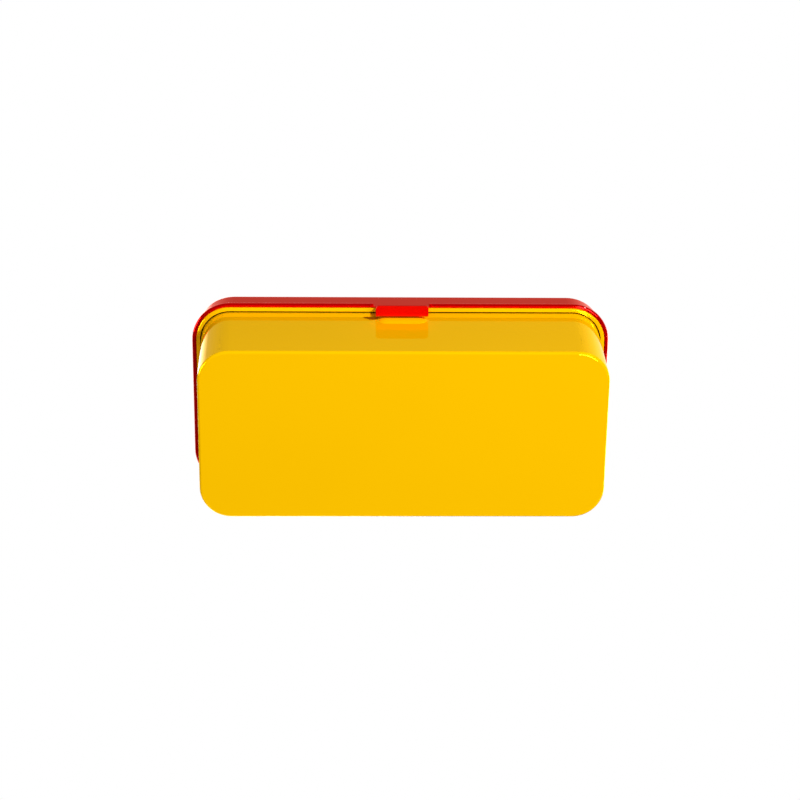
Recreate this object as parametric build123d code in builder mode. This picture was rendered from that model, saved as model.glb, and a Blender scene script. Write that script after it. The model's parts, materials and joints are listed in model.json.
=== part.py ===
"""A pressed steel film case: a tray and a hinged lid with a snap tab, and a divider inside.

It lies on its base with the lid shut. X runs along the case, the snap tab is at -Y and the
hinges are at +Y. Z = 0 is the underside of the tray, in the middle of which the origin lies.
"""
from math import radians, tan
import os

from build123d import *

os.makedirs("parts", exist_ok=True)

# Sheet steel, the same gauge for tray and lid
sheet = 0.5

# Tray: outline at the base, then walls that lean out to a rolled rim
tray_length = 150.0
tray_width = 65.3
tray_corner = 11.7
mouth_corner = 11.1
tray_depth = 43.05
wall_draft = 1.5
base_edge = 1.0
rim_roll = 1.9
rim_proud = 2.0
rim_top_round = 0.9
rim_low_round = 0.7
curl_gap = 0.5
curl_gap_depth = 1.5
mouth_round = 0.6

# Lid: straight walls, a shoulder that sits over the rim, and a skirt with a folded hem
case_height = 55.0
lid_corner = 14.2
lid_edge = 1.4
rim_fit = 0.18
rest_gap = 0.05
hem_proud = 0.8
hem_height = 1.95
hem_round = 0.7

# Snap tab on the lid and the bead that it snaps over on the front wall
tab_width = 19.7
tab_bend_drop = 9.7
tab_lip_drop = 10.5
tab_lip_reach = 7.3
tab_bend_r = 1.8
tab_lip_corner = 1.2
tab_relief = 0.7
hem_end_r = 1.5
bead_length = 19.0
bead_breadth = 7.8
bead_proud = 1.15
bead_drop = 7.6
snap_gap = 0.35

# Hinges: two, each with two tray knuckles and one lid knuckle on a headed pin
hinge_offset = 46.0
hinge_width = 14.0
leaf_sheet = 0.5
pin_r = 0.6
pin_fit = 0.03
pin_head_r = 1.0
pin_head = 0.5
pin_head_round = 0.3
lid_knuckle = 5.6
knuckle_gap = 0.3
hinge_relief = 1.1
lid_leaf_top_gap = 3.0
tray_leaf_height = 9.0
leaf_bend_r = 1.0

# Rivets, two through each leaf
rivet_r = 0.8
rivet_head_r = 1.5
rivet_head = 0.6
rivet_tail_r = 1.3
rivet_tail = 0.4
rivet_spacing = 9.0
tray_rivet_from_end = 3.4

# Divider: one long plate and three cross plates, halved together
plate = 0.8
divider_height = 36.0
divider_fit = 0.3
slot_fit = 0.05
foot_chamfer = 1.0
cells_long = 4

# Closeness at which an edge counts as lying at a given place
near = sheet / 50

# Places that follow from the sizes above
lean = tan(radians(wall_draft))
rim_z = tray_depth - rim_roll
rim_reach = rim_z * lean + rim_proud
rim_corner = mouth_corner + rim_proud
skirt_corner = rim_corner + rim_fit
skirt_in = rim_reach + rim_fit
skirt_out = skirt_in + sheet
hem_reach = skirt_out + hem_proud
shoulder_z = tray_depth + rest_gap
front_y = -tray_width / 2
back_y = tray_width / 2
knuckle_r = pin_r + pin_fit + leaf_sheet
axis_y = back_y + skirt_in + knuckle_r
axis_z = rim_z
cell_pitch = (tray_length - 2 * sheet) / cells_long
hinge_xs = {"left": -hinge_offset, "right": hinge_offset}


def wall_reach(z):
    """How far the outside of the leaning wall stands outside the base outline at height z."""
    return z * lean


def outline(reach, corner, z):
    """The base outline grown by `reach`, with its own corner radius, at height z."""
    with BuildSketch(Plane.XY.offset(z), mode=Mode.PRIVATE) as grown:
        RectangleRounded(tray_length + 2 * reach, tray_width + 2 * reach, corner)
    return grown.sketch


def leaning_block(inset, low, high):
    """The solid inside the leaning walls from low to high, `inset` in from their outside."""
    sections = []
    for z in (low, high):
        corner = tray_corner + (mouth_corner - tray_corner) * z / rim_z
        sections.append(outline(wall_reach(z) - inset, corner - inset, z))
    with BuildPart(mode=Mode.PRIVATE) as block:
        loft(sections, ruled=True)
    return block.part


def crosswise(points, x, width, radii=()):
    """A strip of section `points` (y, z), centred at x and `width` wide, bends rounded."""
    with BuildPart(mode=Mode.PRIVATE) as strip:
        with BuildSketch(Plane.YZ.offset(x)):
            with BuildLine():
                Polyline(*points, close=True)
            make_face()
        extrude(amount=width / 2, both=True)
        for (y, z), radius in radii:
            bend = [e for e in strip.edges().filter_by(Axis.X)
                    if abs(e.center().Y - y) < near and abs(e.center().Z - z) < near]
            fillet(bend, radius)
    return strip.part


def barrel(x, length, radius):
    """A cylinder along a hinge axis, centred at x."""
    with BuildPart(mode=Mode.PRIVATE) as cylinder:
        with Locations((x, axis_y, axis_z)):
            Cylinder(radius, length, rotation=(0, 90, 0))
    return cylinder.part


def bead(under=0.0):
    """The capsule whose cap stands out of the front wall as the bead, `under` inside it."""
    crest_r = ((bead_breadth / 2) ** 2 + bead_proud ** 2) / (2 * bead_proud)
    z = rim_z - bead_drop
    y = front_y - wall_reach(z) - bead_proud + crest_r
    half = (bead_length - bead_breadth) / 2
    with BuildPart(mode=Mode.PRIVATE) as capsule:
        with Locations((0, y, z)):
            Cylinder(crest_r - under, 2 * half, rotation=(0, 90, 0))
        with Locations((-half, y, z), (half, y, z)):
            Sphere(crest_r - under)
        split(bisect_by=Plane.XZ.offset(tray_width / 2 + wall_reach(z) - sheet / 2))
    return capsule.part


def rivet_planes(z, y, tilt):
    """Planes of the rivets through two like leaves, on the wall's outside and facing out."""
    normal = Vector(0, 1, 0).rotate(Axis.X, -tilt)
    xs = [x + step for x in hinge_xs.values() for step in (-rivet_spacing / 2, rivet_spacing / 2)]
    return [Plane(origin=(x, y, z), x_dir=(1, 0, 0), z_dir=normal) for x in xs]


lid_leaf_top = case_height - lid_leaf_top_gap
tray_rivet_z = axis_z - knuckle_r - tray_leaf_height + tray_rivet_from_end
lid_rivet_z = (shoulder_z + sheet + lid_leaf_top) / 2
tray_rivet_planes = rivet_planes(tray_rivet_z, back_y + wall_reach(tray_rivet_z), wall_draft)
lid_rivet_planes = rivet_planes(lid_rivet_z, back_y + skirt_in, 0)


def rivet_holes(planes):
    """Holes through a wall and the leaf on it."""
    with Locations(*planes):
        Cylinder(rivet_r, 4 * (sheet + leaf_sheet), mode=Mode.SUBTRACT)


# Tray: base and leaning walls from one sheet, rim rolled outwards, bead pressed out in front
with BuildPart() as tray_shell:
    add(leaning_block(0, 0, tray_depth))
    fillet(tray_shell.edges().group_by(Axis.Z)[0], base_edge)
    with BuildPart(mode=Mode.PRIVATE) as rim:
        extrude(outline(rim_reach, rim_corner, rim_z), amount=rim_roll)
        fillet(rim.edges().group_by(Axis.Z)[-1], rim_top_round)
        fillet(rim.edges().group_by(Axis.Z)[0], rim_low_round)
        with BuildPart(mode=Mode.PRIVATE) as curl_slit:
            extrude(outline(wall_reach(rim_z) + curl_gap, mouth_corner + curl_gap, rim_z),
                    amount=curl_gap_depth)
            extrude(outline(wall_reach(rim_z), mouth_corner, rim_z), amount=curl_gap_depth,
                    mode=Mode.SUBTRACT)
        add(curl_slit, mode=Mode.SUBTRACT)
    add(rim)
    add(leaning_block(sheet, sheet, tray_depth + sheet), mode=Mode.SUBTRACT)
    fillet(tray_shell.edges().group_by(Axis.Z)[-1], mouth_round)
    floor_edges = [e for e in tray_shell.edges() if abs(e.center().Z - sheet) < near]
    fillet(floor_edges, base_edge - sheet)
    add(bead())
    add(bead(under=sheet), mode=Mode.SUBTRACT)
    rivet_holes(tray_rivet_planes)
tray_shell.part.label = "tray_shell"

# Lid: drawn from one sheet, with the tab bent from the skirt and the hem cut back beside it
with BuildPart() as lid_shell:
    extrude(outline(skirt_in, lid_corner, rim_z), amount=case_height - rim_z)
    fillet(lid_shell.edges().group_by(Axis.Z)[-1], lid_edge)
    with BuildPart(mode=Mode.PRIVATE) as hem:
        extrude(outline(hem_reach, skirt_corner + sheet + hem_proud, rim_z), amount=hem_height)
        fillet(hem.edges().group_by(Axis.Z)[0], hem_round)
        fillet(hem.edges().group_by(Axis.Z)[-1], hem_round)
        with BuildSketch(Plane.XZ.offset(-front_y)):
            with Locations((0, rim_z)):
                Rectangle(tab_width + 2 * tab_relief, 4 * hem_height)
            for side in (-1, 1):
                foot_x = side * (tab_width / 2 + tab_relief + hem_end_r)
                with Locations((foot_x - side * hem_end_r / 2, rim_z + hem_end_r / 2)):
                    Rectangle(hem_end_r, hem_end_r)
                with Locations((foot_x, rim_z + hem_end_r)):
                    Circle(hem_end_r, mode=Mode.SUBTRACT)
        extrude(amount=2 * hem_reach, mode=Mode.SUBTRACT)
    add(hem)
    extrude(outline(skirt_out, skirt_corner + sheet, rim_z), amount=shoulder_z + sheet - rim_z)
    extrude(outline(skirt_in, skirt_corner, rim_z), amount=shoulder_z - rim_z, mode=Mode.SUBTRACT)
    with BuildPart(mode=Mode.PRIVATE) as hollow:
        extrude(outline(skirt_in - sheet, lid_corner - sheet, rim_z),
                amount=case_height - sheet - rim_z)
        fillet(hollow.edges().group_by(Axis.Z)[-1], lid_edge - sheet)
    add(hollow, mode=Mode.SUBTRACT)
    bend_q = wall_reach(rim_z - bead_drop) + bead_proud + snap_gap
    with BuildPart(mode=Mode.PRIVATE) as tab:
        with BuildSketch(Plane.YZ):
            with BuildLine():
                inner = FilletPolyline(
                    (front_y - skirt_in, shoulder_z),
                    (front_y - skirt_in, rim_z),
                    (front_y - bend_q, rim_z - tab_bend_drop),
                    (front_y - tab_lip_reach, rim_z - tab_lip_drop),
                    radius=tab_bend_r)
                offset(inner, amount=sheet, side=Side.RIGHT, closed=True)
            make_face()
        extrude(amount=tab_width / 2, both=True)
        tip = tab.edges().filter_by(Axis.X, reverse=True).group_by(Axis.Y)[0]
        fillet(tip, tab_lip_corner)
    add(tab)
    for x in hinge_xs.values():
        with Locations((x, back_y + skirt_in, rim_z)):
            Box(hinge_width + 2 * hinge_relief, 2 * (hem_reach - skirt_in) + 1,
                2 * (shoulder_z + sheet - rim_z), align=(Align.CENTER, Align.MIN, Align.CENTER),
                mode=Mode.SUBTRACT)
    rivet_holes(lid_rivet_planes)
lid_shell.part.label = "lid_shell"

# Hinge leaves: each wraps the pin in its knuckles and is riveted flat to its wall
tray_knuckle = (hinge_width - lid_knuckle - 2 * knuckle_gap) / 2
knuckle_step = (lid_knuckle + tray_knuckle) / 2 + knuckle_gap
clear_r = knuckle_r + knuckle_gap
leaves = []
for side, x in hinge_xs.items():
    with BuildPart() as tray_leaf:
        low_z = axis_z - knuckle_r - tray_leaf_height
        foot_z = axis_z - knuckle_r
        bend_y = back_y + wall_reach(foot_z)
        heel_z = foot_z + leaf_sheet
        add(crosswise([(back_y + wall_reach(low_z), low_z),
                       (back_y + wall_reach(heel_z), heel_z), (axis_y, heel_z),
                       (axis_y, foot_z), (bend_y + leaf_sheet, foot_z),
                       (back_y + wall_reach(low_z) + leaf_sheet, low_z)], x, hinge_width,
                      [((back_y + wall_reach(heel_z), heel_z), leaf_bend_r),
                       ((bend_y + leaf_sheet, foot_z), leaf_bend_r - leaf_sheet)]))
        for step in (-knuckle_step, knuckle_step):
            add(barrel(x + step, tray_knuckle, knuckle_r))
        add(barrel(x, lid_knuckle + 2 * knuckle_gap, clear_r), mode=Mode.SUBTRACT)
        add(barrel(x, hinge_width, pin_r), mode=Mode.SUBTRACT)
        rivet_holes(tray_rivet_planes)
    tray_leaf.part.label = side + "_tray_leaf"

    with BuildPart() as lid_leaf:
        face_y = back_y + skirt_in
        with Locations((x, face_y + leaf_sheet / 2, (axis_z + lid_leaf_top) / 2)):
            Box(hinge_width, leaf_sheet, lid_leaf_top - axis_z)
        top_corners = lid_leaf.edges().filter_by(Axis.Y).group_by(Axis.Z)[-1]
        fillet(top_corners, leaf_bend_r)
        add(barrel(x, lid_knuckle, knuckle_r))
        for step in (-knuckle_step, knuckle_step):
            add(barrel(x + step, tray_knuckle + 2 * knuckle_gap, clear_r), mode=Mode.SUBTRACT)
        add(barrel(x, hinge_width, pin_r + pin_fit), mode=Mode.SUBTRACT)
        rivet_holes(lid_rivet_planes)
    lid_leaf.part.label = side + "_lid_leaf"

    with BuildPart() as hinge_pin:
        add(barrel(x, hinge_width, pin_r))
        for end in (-1, 1):
            add(barrel(x + end * (hinge_width + pin_head) / 2, pin_head, pin_head_r))
        fillet(hinge_pin.edges().group_by(Axis.X)[0] + hinge_pin.edges().group_by(Axis.X)[-1],
               pin_head_round)
    hinge_pin.part.label = side + "_hinge_pin"
    leaves += [tray_leaf, lid_leaf, hinge_pin]


# Domed rivets: head on the leaf, shank through leaf and wall, flattened tail inside
with BuildPart() as rivet:
    with BuildSketch(Plane.XZ):
        with BuildLine():
            Polyline((0, -sheet - rivet_tail), (rivet_tail_r, -sheet - rivet_tail),
                     (rivet_tail_r, -sheet), (rivet_r, -sheet), (rivet_r, leaf_sheet),
                     (rivet_head_r, leaf_sheet))
            RadiusArc((rivet_head_r, leaf_sheet), (0, leaf_sheet + rivet_head),
                      -(rivet_head_r ** 2 + rivet_head ** 2) / (2 * rivet_head))
            Line((0, leaf_sheet + rivet_head), (0, -sheet - rivet_tail))
        make_face()
    revolve(axis=Axis.Z)

with BuildPart() as tray_rivets:
    with Locations(*tray_rivet_planes):
        add(rivet.part)
tray_rivets.part.label = "tray_rivets"

with BuildPart() as lid_rivets:
    with Locations(*lid_rivet_planes):
        add(rivet.part)
lid_rivets.part.label = "lid_rivets"


def divider_plate(base_half, plane, slot_xs, slot_down):
    """A plate with leaning ends, in `plane`, with half-depth slots from the top or the foot."""
    low = sheet
    high = sheet + divider_height
    half_low = base_half - sheet - divider_fit
    half_high = half_low + (high - low) * lean
    with BuildPart(mode=Mode.PRIVATE) as made:
        with BuildSketch(plane):
            with BuildLine():
                Polyline((-half_low + foot_chamfer, low), (half_low - foot_chamfer, low),
                         (half_low, low + foot_chamfer), (half_high, high),
                         (-half_high, high), (-half_low, low + foot_chamfer), close=True)
            make_face()
            slot_z = high if slot_down else low
            with Locations(*[(x, slot_z) for x in slot_xs]):
                Rectangle(plate + 2 * slot_fit, divider_height + 2 * slot_fit,
                          mode=Mode.SUBTRACT)
        extrude(amount=plate / 2, both=True)
    return made.part


cross_xs = [(index + 1 - cells_long / 2) * cell_pitch for index in range(cells_long - 1)]
with BuildPart() as divider_long:
    add(divider_plate(tray_length / 2, Plane.XZ, cross_xs, True))
divider_long.part.label = "divider_long"

cross_dividers = []
for number, x in enumerate(cross_xs, start=1):
    with BuildPart() as divider_cross:
        add(divider_plate(tray_width / 2, Plane.YZ.offset(x), [0], False))
    divider_cross.part.label = f"divider_cross_{number}"
    cross_dividers.append(divider_cross)

for piece in [tray_shell, lid_shell, *leaves, tray_rivets, lid_rivets, divider_long,
              *cross_dividers]:
    export_step(piece.part, f"parts/{piece.part.label}.step")
    size = piece.part.bounding_box().size
    print(f"{piece.part.label}: {size.X:.2f} x {size.Y:.2f} x {size.Z:.2f} mm, "
          f"{len(piece.part.solids())} solid(s), {piece.part.volume:.1f} mm3")
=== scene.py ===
# %% [markdown]
# A pressed steel film tin
#
# The pressed shapes are already exact there, down to the rolled rim and the folded hem, so no piece is
# modelled again. This file gives each piece its finish, and makes the camera, the floor, the sky and the
# lamps.

# %% Load the frame
import json

import bmesh
import bpy
from mathutils import Matrix, Vector


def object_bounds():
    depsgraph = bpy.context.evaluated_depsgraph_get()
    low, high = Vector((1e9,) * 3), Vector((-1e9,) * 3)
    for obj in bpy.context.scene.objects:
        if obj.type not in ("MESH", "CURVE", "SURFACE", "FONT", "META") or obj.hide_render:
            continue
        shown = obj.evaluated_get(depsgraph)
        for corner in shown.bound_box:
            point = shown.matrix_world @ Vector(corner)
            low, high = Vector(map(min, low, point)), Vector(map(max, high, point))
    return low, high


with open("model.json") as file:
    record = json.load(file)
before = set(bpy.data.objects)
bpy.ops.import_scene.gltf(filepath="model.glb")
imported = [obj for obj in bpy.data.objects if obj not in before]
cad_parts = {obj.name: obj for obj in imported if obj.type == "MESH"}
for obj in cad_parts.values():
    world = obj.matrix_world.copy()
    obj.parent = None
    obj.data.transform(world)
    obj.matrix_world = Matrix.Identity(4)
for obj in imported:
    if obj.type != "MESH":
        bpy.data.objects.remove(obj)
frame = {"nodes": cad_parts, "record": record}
cad_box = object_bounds()
scene = bpy.context.scene
nodes = frame["nodes"]
MM = 0.001
print("CAD box", [[round(value, 4) for value in corner] for corner in cad_box])

# %% [markdown]
# The photograph's camera
#
# The tin stands on its hinge side in the photograph, so its underside faces the lens. Here the tin lies
# on its base, so the same view is from below and in front. The place and the directions come from a
# perspective fit of the tin's own outline: a long lens, about 0.7 m away. The focal length is in pixels
# of the square picture, and Blender wants it in millimetres of its sensor.

# %% Camera
IMAGE_SIDE = 800
FOCAL_PIXELS = 1941.05
SENSOR_WIDTH = 36.0
NEAR_CLIP = 0.01
FAR_CLIP = 20.0
CAMERA_PLACE = Vector((-23.756, -267.184, -658.896)) * MM
CAMERA_FORWARD = Vector((0.031614, 0.358366, 0.933046))
CAMERA_RIGHT = Vector((0.999498, -0.013212, -0.028791))


def make_camera():
    data = bpy.data.cameras.new("camera")
    data.sensor_width = SENSOR_WIDTH
    data.lens = FOCAL_PIXELS / IMAGE_SIDE * SENSOR_WIDTH
    data.clip_start = NEAR_CLIP
    data.clip_end = FAR_CLIP
    camera = bpy.data.objects.new("camera", data)
    scene.collection.objects.link(camera)
    back = -CAMERA_FORWARD.normalized()
    right = CAMERA_RIGHT.normalized()
    up = back.cross(right).normalized()
    axes = Matrix((right, up, back)).transposed()
    camera.matrix_world = Matrix.Translation(CAMERA_PLACE) @ axes.to_4x4()
    scene.camera = camera
    print("lens", round(data.lens, 2), "mm")


make_camera()
scene.view_settings.view_transform = "Standard"

# %% [markdown]
# Shader maths as plain Python
#
# A shader is a graph of nodes, but its maths is easier to read as a sum. A small class wraps a socket, so
# that `noise * 0.2 + 0.4` adds the two Math nodes by itself. The reflected forms make `1 - mask` work
# too, where the number comes first.


# %% A socket that counts like a number
class Wire:
    """A socket that can be added, multiplied and compared like a number."""

    def __init__(self, socket, graph):
        self.socket = socket
        self.graph = graph

    def maths(self, operation, *values):
        return self.graph.node("ShaderNodeMath", {"operation": operation}, dict(enumerate(values)))

    def __add__(self, other):
        return self.maths("ADD", self, other)

    __radd__ = __add__

    def __sub__(self, other):
        return self.maths("SUBTRACT", self, other)

    def __rsub__(self, other):
        return self.maths("SUBTRACT", other, self)

    def __mul__(self, other):
        return self.maths("MULTIPLY", self, other)

    __rmul__ = __mul__

    def __gt__(self, other):
        return self.maths("GREATER_THAN", self, other)

    def __lt__(self, other):
        return self.maths("LESS_THAN", self, other)

    def __abs__(self):
        return self.maths("ABSOLUTE", self)

    def at_least(self, other):
        return self.maths("MAXIMUM", self, other)

    def root(self):
        return self.maths("SQRT", self)


# %% [markdown]
# One way to make every node
#
# Materials and the sky are both node trees, so one class serves both. Its `node` method makes any node
# from its type, its settings and its inputs, where an input is a plain value or a wire. A `fade` turns a
# stretch of any measure into a soft edge, which the floor and the sky use.


# %% A tree of nodes
class Graph:
    """The node tree of a material or of the sky."""

    def __init__(self, tree):
        self.tree = tree

    def node(self, kind, settings=None, inputs=None, output=0):
        made = self.tree.nodes.new(kind)
        for label, value in (settings or {}).items():
            setattr(made, label, value)
        for label, value in (inputs or {}).items():
            if isinstance(value, Wire):
                self.tree.links.new(value.socket, made.inputs[label])
            else:
                made.inputs[label].default_value = value
        return Wire(made.outputs[output], self)

    def axes(self, where):
        """The three coordinates of a place or a direction, each as a wire."""
        split = self.node("ShaderNodeSeparateXYZ", inputs={0: where}).socket.node
        return [Wire(socket, self) for socket in split.outputs]

    def fade(self, value, low, high, start=0.0):
        """A ramp from `start` at low to 1 at high, held beyond both ends."""
        return self.node("ShaderNodeMapRange",
                         inputs={"Value": value, "From Min": low, "From Max": high,
                                 "To Min": start, "To Max": 1.0})


# %% [markdown]
# A finish is one material
#
# Every finish on the tin is one Principled shader, which holds what is the same all over as plain values.
# Only what changes over the surface is fed by nodes. Patterns read Object coordinates, in metres, so they
# have real sizes and stay on the piece when the lid turns.


# %% A material with one shader
class Finish(Graph):
    """A material with one Principled shader."""

    def __init__(self, name, **settings):
        self.material = bpy.data.materials.new(name)
        self.material.use_nodes = True
        super().__init__(self.material.node_tree)
        self.shader = self.tree.nodes["Principled BSDF"]
        for label, value in settings.items():
            self.shader.inputs[label.replace("_", " ")].default_value = value

    def feed(self, label, wire):
        self.tree.links.new(wire.socket, self.shader.inputs[label])

    def place(self, scale=(1, 1, 1)):
        """Object coordinates, in metres, stretched by scale."""
        coordinates = self.node("ShaderNodeTexCoord", output="Object")
        return self.node("ShaderNodeMapping", inputs={"Vector": coordinates, "Scale": scale})

    def noise(self, where, size, detail=2.0):
        """Noise from 0 to 1 whose blobs are about `size` metres across."""
        return self.node("ShaderNodeTexNoise",
                         inputs={"Vector": where, "Scale": 1 / size, "Detail": detail}, output="Fac")

    def bump(self, height, depth):
        """Relief of `depth` metres into the shader's normal."""
        self.feed("Normal", self.node("ShaderNodeBump",
                                      inputs={"Height": height, "Distance": depth,
                                              "Strength": 1.0}, output="Normal"))

    def blend(self, factor, first, second):
        """A colour between two others, each a tuple or a wire."""
        return self.node("ShaderNodeMix", {"data_type": "RGBA"},
                         {"Factor": factor, "A": first, "B": second}, output="Result")


# %% [markdown]
# Enamel over bright steel
#
# The tin is sprayed with a gloss lacquer over bright sheet. Light that passes the lacquer comes back
# from the steel tinted, which is why the tab's reflection in the yellow wall is orange and not grey. A
# share of Metallic in one Principled shader gives that, with a low index for the coloured film and a
# little clear coat for the pale glints. The skin has a faint orange peel, and its gloss wanders a little
# from place to place.


# %% Enamel
DRIFT_SIZE = 40 * MM
PEEL_SIZE = 1.6 * MM
PEEL_DEPTH = 0.0012 * MM
ENAMEL_ROUGH = 0.03
ENAMEL_ROUGH_DRIFT = 0.02


def enamel(name, colour, deep, glint, metallic, ior, lacquer):
    finish = Finish(name, Metallic=metallic, IOR=ior, Specular_Tint=glint, Coat_Weight=lacquer,
                    Coat_Roughness=ENAMEL_ROUGH)
    where = finish.place()
    drift = finish.noise(where, DRIFT_SIZE)
    peel = finish.noise(where, PEEL_SIZE, detail=1.0)
    finish.film = finish.blend(drift, colour, deep)
    finish.feed("Base Color", finish.film)
    finish.feed("Roughness", drift * ENAMEL_ROUGH_DRIFT + ENAMEL_ROUGH)
    finish.bump(peel, PEEL_DEPTH)
    print(name, "metallic", metallic, "index", ior, "lacquer", lacquer)
    return finish


red = enamel("red_enamel", colour=(0.9, 0.0, 0.0, 1), deep=(0.87, 0.0, 0.0, 1),
             glint=(1, 0.6, 0.45, 1), metallic=0.75, ior=1.24, lacquer=0.12)
yellow = enamel("yellow_enamel", colour=(1.0, 0.55, 0.0, 1), deep=(0.98, 0.535, 0.0, 1),
                glint=(1, 0.85, 0.35, 1), metallic=0.3, ior=1.04, lacquer=0.05)

# %% [markdown]
# Painted shade in the gap inside the rolled rim
#
# Where the tray's rim is rolled over, a narrow gap stays between the roll and the wall. On the real tin
# it goes on up into the hollow of the roll, deeper than the model's gap, and hardly any light comes back
# out of it. That shade is painted into the yellow's colour as a dark brown. The gap follows the tray's
# outline, a rectangle with round corners, and the distance of a point from such an outline needs no
# texture: fold the point into one corner with abs, measure it from the corner's centre, and take off the
# corner's radius.

# %% Rim gap
MOUTH_HALF_LENGTH = 76.08 * MM
MOUTH_HALF_WIDTH = 33.73 * MM
MOUTH_CORNER = 11.1 * MM
RIM_UNDERSIDE = 41.15 * MM
GAP_DEPTH = 1.5 * MM
GAP_WIDTH = 0.5 * MM
GAP_MARGIN = 0.04 * MM
# Dark brown painted shade for the inside of the rim gap
PAINTED_GAP_SHADE = (0.28, 0.13, 0.0, 1)


def rim_gap(finish):
    """1 inside the gap between the rolled rim and the wall, and 0 elsewhere."""
    x, y, z = finish.axes(finish.place())
    beyond_x = (abs(x) - (MOUTH_HALF_LENGTH - MOUTH_CORNER)).at_least(0.0)
    beyond_y = (abs(y) - (MOUTH_HALF_WIDTH - MOUTH_CORNER)).at_least(0.0)
    outside = (beyond_x * beyond_x + beyond_y * beyond_y).root() - MOUTH_CORNER
    in_width = (outside > -GAP_MARGIN) * (outside < GAP_WIDTH + GAP_MARGIN)
    in_depth = (z > RIM_UNDERSIDE + GAP_MARGIN) * (z < RIM_UNDERSIDE + GAP_DEPTH + GAP_MARGIN)
    return in_width * in_depth


# Paint the dark shade into the yellow enamel's colour inside the rim gap
yellow.feed("Base Color", yellow.blend(rim_gap(yellow), yellow.film, PAINTED_GAP_SHADE))
print("rim gap", GAP_WIDTH / MM, "mm wide")

# %% [markdown]
# Zinc plate
#
# The hinges and rivets are zinc-plated steel: grey, softly bright, with fine lines along the strip that
# they were cut from. Squeezing the noise twelve times in Y and Z leaves it long in X, which makes lines.
# The same lines serve the colour, the roughness and the relief, as on the real plate.


# %% Zinc plate
LINE_SIZE = 2 * MM
LINE_STRETCH = 12
LINE_DEPTH = 0.004 * MM
STEEL_ROUGH = 0.25
STEEL_ROUGH_DRIFT = 0.15
STEEL_PALE = (0.60, 0.61, 0.63, 1)
STEEL_DARK = (0.48, 0.49, 0.51, 1)


def zinc():
    finish = Finish("zinc_steel", Metallic=1.0)
    where = finish.place((1, LINE_STRETCH, LINE_STRETCH))
    lines = finish.noise(where, LINE_SIZE, detail=3.0)
    finish.feed("Base Color", finish.blend(lines, STEEL_PALE, STEEL_DARK))
    finish.feed("Roughness", lines * STEEL_ROUGH_DRIFT + STEEL_ROUGH)
    finish.bump(lines, LINE_DEPTH)
    return finish


steel = zinc()
print("made", steel.material.name, "with lines", round(LINE_SIZE / LINE_STRETCH / MM, 2), "mm wide")

# %% [markdown]
# Moulded plastic
#
# The divider is a thin black moulding. Its mould leaves a fine even grain, so plain noise of half a
# millimetre goes into the colour, the roughness and the relief. Nothing about it needs metal or coat.


# %% Moulded plastic
GRAIN_SIZE = 0.5 * MM
GRAIN_DEPTH = 0.012 * MM
PLASTIC_ROUGH = 0.45
PLASTIC_ROUGH_DRIFT = 0.2
PLASTIC_DARK = (0.022, 0.022, 0.024, 1)
PLASTIC_PALE = (0.035, 0.035, 0.037, 1)


def moulded_black():
    finish = Finish("black_plastic", IOR=1.49)
    grain = finish.noise(finish.place(), GRAIN_SIZE, detail=3.0)
    finish.feed("Base Color", finish.blend(grain, PLASTIC_DARK, PLASTIC_PALE))
    finish.feed("Roughness", grain * PLASTIC_ROUGH_DRIFT + PLASTIC_ROUGH)
    finish.bump(grain, GRAIN_DEPTH)
    return finish


plastic = moulded_black()
print("made", plastic.material.name, "with grains", GRAIN_SIZE / MM, "mm wide")

# %% [markdown]
# Dressing the pieces
#
# Every piece of the frame already has its shape, so it only takes a finish. The record says which
# finish each piece has.

# %% Dress the nodes
FINISHES = {"yellow_enamel": yellow, "red_enamel": red, "zinc_steel": steel, "black_plastic": plastic}
for entry in frame["record"]["subparts"]:
    for material_slot in nodes[entry["node"]].material_slots:
        material_slot.material = FINISHES[entry["material_slot"]].material
    print(entry["node"], "gets", entry["material_slot"])

# %% [markdown]
# Floor
#
# The floor is a large sheet of white paper just under the tin. The photograph's view comes from below
# it, where the ground is white and nothing may hide the tin, so the floor is one-sided: it is solid only
# for rays from the camera that meet its upper face. All other rays, also those of the lamps, pass. Far
# from the tin the lamps don't reach the paper, so it fades into the white sky instead of turning grey.

# %% Make the floor
FLOOR_DROP = 0.05 * MM
FLOOR_SIDE = 6.0
PAPER = (0.86, 0.86, 0.86, 1)
PAPER_ROUGH = 0.9
PAPER_INDEX = 1.2
PAPER_EDGE = (0.45, 0.95)


def make_floor():
    sheet = bmesh.new()
    level = Matrix.Translation((0, 0, cad_box[0].z - FLOOR_DROP))
    bmesh.ops.create_grid(sheet, x_segments=1, y_segments=1, size=FLOOR_SIDE / 2, matrix=level)
    mesh = bpy.data.meshes.new("floor")
    sheet.to_mesh(mesh)
    sheet.free()
    floor = bpy.data.objects.new("floor", mesh)
    scene.collection.objects.link(floor)
    finish = Finish("floor_paper", Base_Color=PAPER, Roughness=PAPER_ROUGH, IOR=PAPER_INDEX)
    from_camera = finish.node("ShaderNodeLightPath", output="Is Camera Ray")
    from_below = finish.node("ShaderNodeNewGeometry", output="Backfacing")
    x, y, _ = finish.axes(finish.place())
    far = finish.fade((x * x + y * y).root(), *PAPER_EDGE)
    solid = from_camera * (1 - from_below) * (1 - far)
    clear = finish.node("ShaderNodeBsdfTransparent")
    paper = Wire(finish.shader.outputs[0], finish)
    shown = finish.node("ShaderNodeMixShader", inputs={0: solid, 1: clear, 2: paper})
    finish.tree.links.new(shown.socket, finish.tree.nodes["Material Output"].inputs["Surface"])
    mesh.materials.append(finish.material)
    print("floor at", round(level.translation.z / MM, 2), "mm, gone at", PAPER_EDGE[1], "m")


make_floor()

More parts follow.
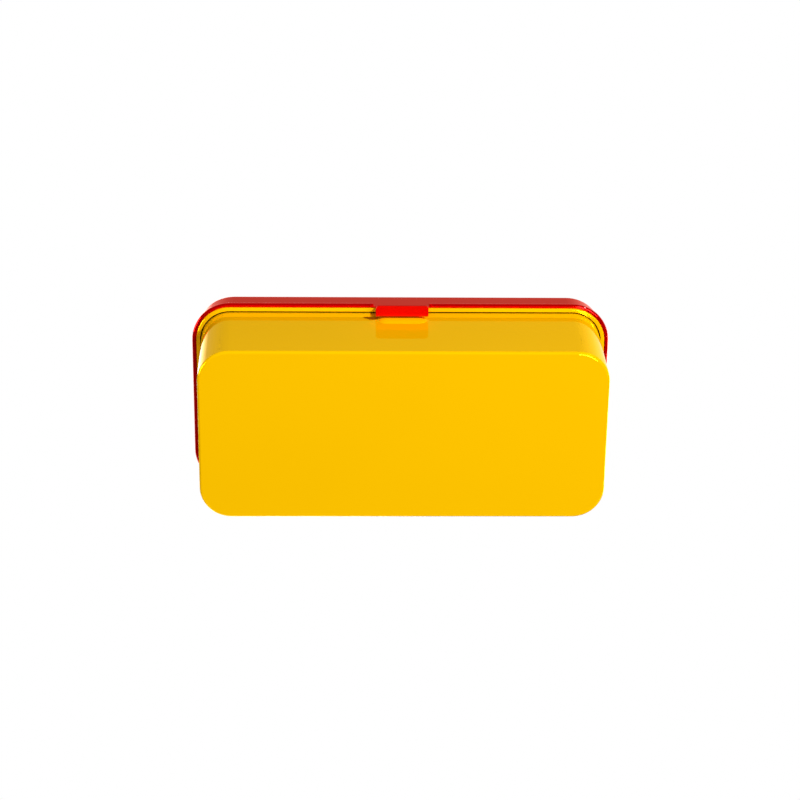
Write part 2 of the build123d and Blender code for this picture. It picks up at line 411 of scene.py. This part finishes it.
# %% [markdown]
# Sky
#
# The camera sees plain white. As light, the sky is a weak grey, because the lamps do the work. What the
# gloss mirrors is a third thing, and the contrast in it makes enamel look like enamel: a white backdrop
# behind the tin that grows dimmer above it, and on the camera's side a dark room with a bright ground.
# In the photograph the hinge side is down, so the ground lies towards +Y and the backdrop towards +Z.
# Each pair of numbers is where one part of this surrounding turns into the next. A round bright panel
# behind the tin at the left gives the white glint in the wall's left corner: the product of a direction
# with the panel's own direction is 1 at its middle and falls off evenly around it.

# %% Make the sky
WHITE = (1, 1, 1, 1)
SKY_LIGHT = 0.12
BACKDROP_DIM = 0.4
ROOM_DIM = 0.1
BACKDROP_TURN = (-0.35, 0.0)
GROUND_TURN = (0.4, 0.65)
BEHIND_TURN = (0.1, 0.4)
PANEL_WAY = (-0.22, 0.24, 0.945)
PANEL_EDGE = (0.955, 0.995)
PANEL_GLOW = 2.4


def make_sky():
    world = bpy.data.worlds.new("sky")
    scene.world = world
    world.use_nodes = True
    sky = Graph(world.node_tree)
    x, y, z = sky.axes(sky.node("ShaderNodeTexCoord", output="Generated"))
    backdrop = sky.fade(y, *BACKDROP_TURN, start=BACKDROP_DIM)
    room = sky.fade(y, *GROUND_TURN, start=ROOM_DIM)
    behind = sky.fade(z, *BEHIND_TURN)
    toward_panel = x * PANEL_WAY[0] + y * PANEL_WAY[1] + z * PANEL_WAY[2]
    panel = sky.fade(toward_panel, *PANEL_EDGE)
    mirrored = behind * (backdrop - room) + room + panel * PANEL_GLOW
    seen, glossy, through = [sky.node("ShaderNodeLightPath", output=ray)
                             for ray in ("Is Camera Ray", "Is Glossy Ray", "Is Transmission Ray")]
    strength = seen.at_least(through).at_least(glossy * mirrored).at_least(SKY_LIGHT)
    background = sky.tree.nodes["Background"]
    background.inputs["Color"].default_value = WHITE
    sky.tree.links.new(strength.socket, background.inputs["Strength"])
    print("sky: light", SKY_LIGHT, "backdrop", BACKDROP_DIM, "to 1, room", ROOM_DIM, "to 1")


make_sky()

# %% [markdown]
# Lamps
#
# The photograph's main light is small and hard, low at the right and on the tab's side: it throws the
# tab's crisp shadow on the wall. A second lamp near the lens lights the base, a third one at the left
# opens the shade under the rim, and two larger ones above light the lid and the hinge side, which only
# the other views show. Places and sides are in metres, powers in watts.

# %% Hang the lamps
TARGET = (cad_box[0] + cad_box[1]) / 2
LAMPS = {
    "tab_side_key": ((0.66, -0.83, -0.67), 0.06, 19),
    "face_key": ((0.42, -0.06, -1.20), 0.30, 6.7),
    "left_fill": ((-0.95, -0.10, -0.45), 0.40, 5.5),
    "top_key": ((0.85, 0.40, 0.85), 0.50, 14),
    "hinge_side_fill": ((-0.25, 0.95, 0.75), 0.60, 11),
}


def hang_lamp(name, place, side, power):
    data = bpy.data.lights.new(name, "AREA")
    data.shape = "SQUARE"
    data.size = side
    data.energy = power
    lamp = bpy.data.objects.new(name, data)
    scene.collection.objects.link(lamp)
    lamp.location = place
    lamp.rotation_mode = "QUATERNION"
    lamp.rotation_quaternion = (TARGET - Vector(place)).to_track_quat("-Z", "Y")
    print(name, side, "m", power, "W")


for lamp_name, (lamp_place, lamp_side, lamp_power) in LAMPS.items():
    hang_lamp(lamp_name, lamp_place, lamp_side, lamp_power)
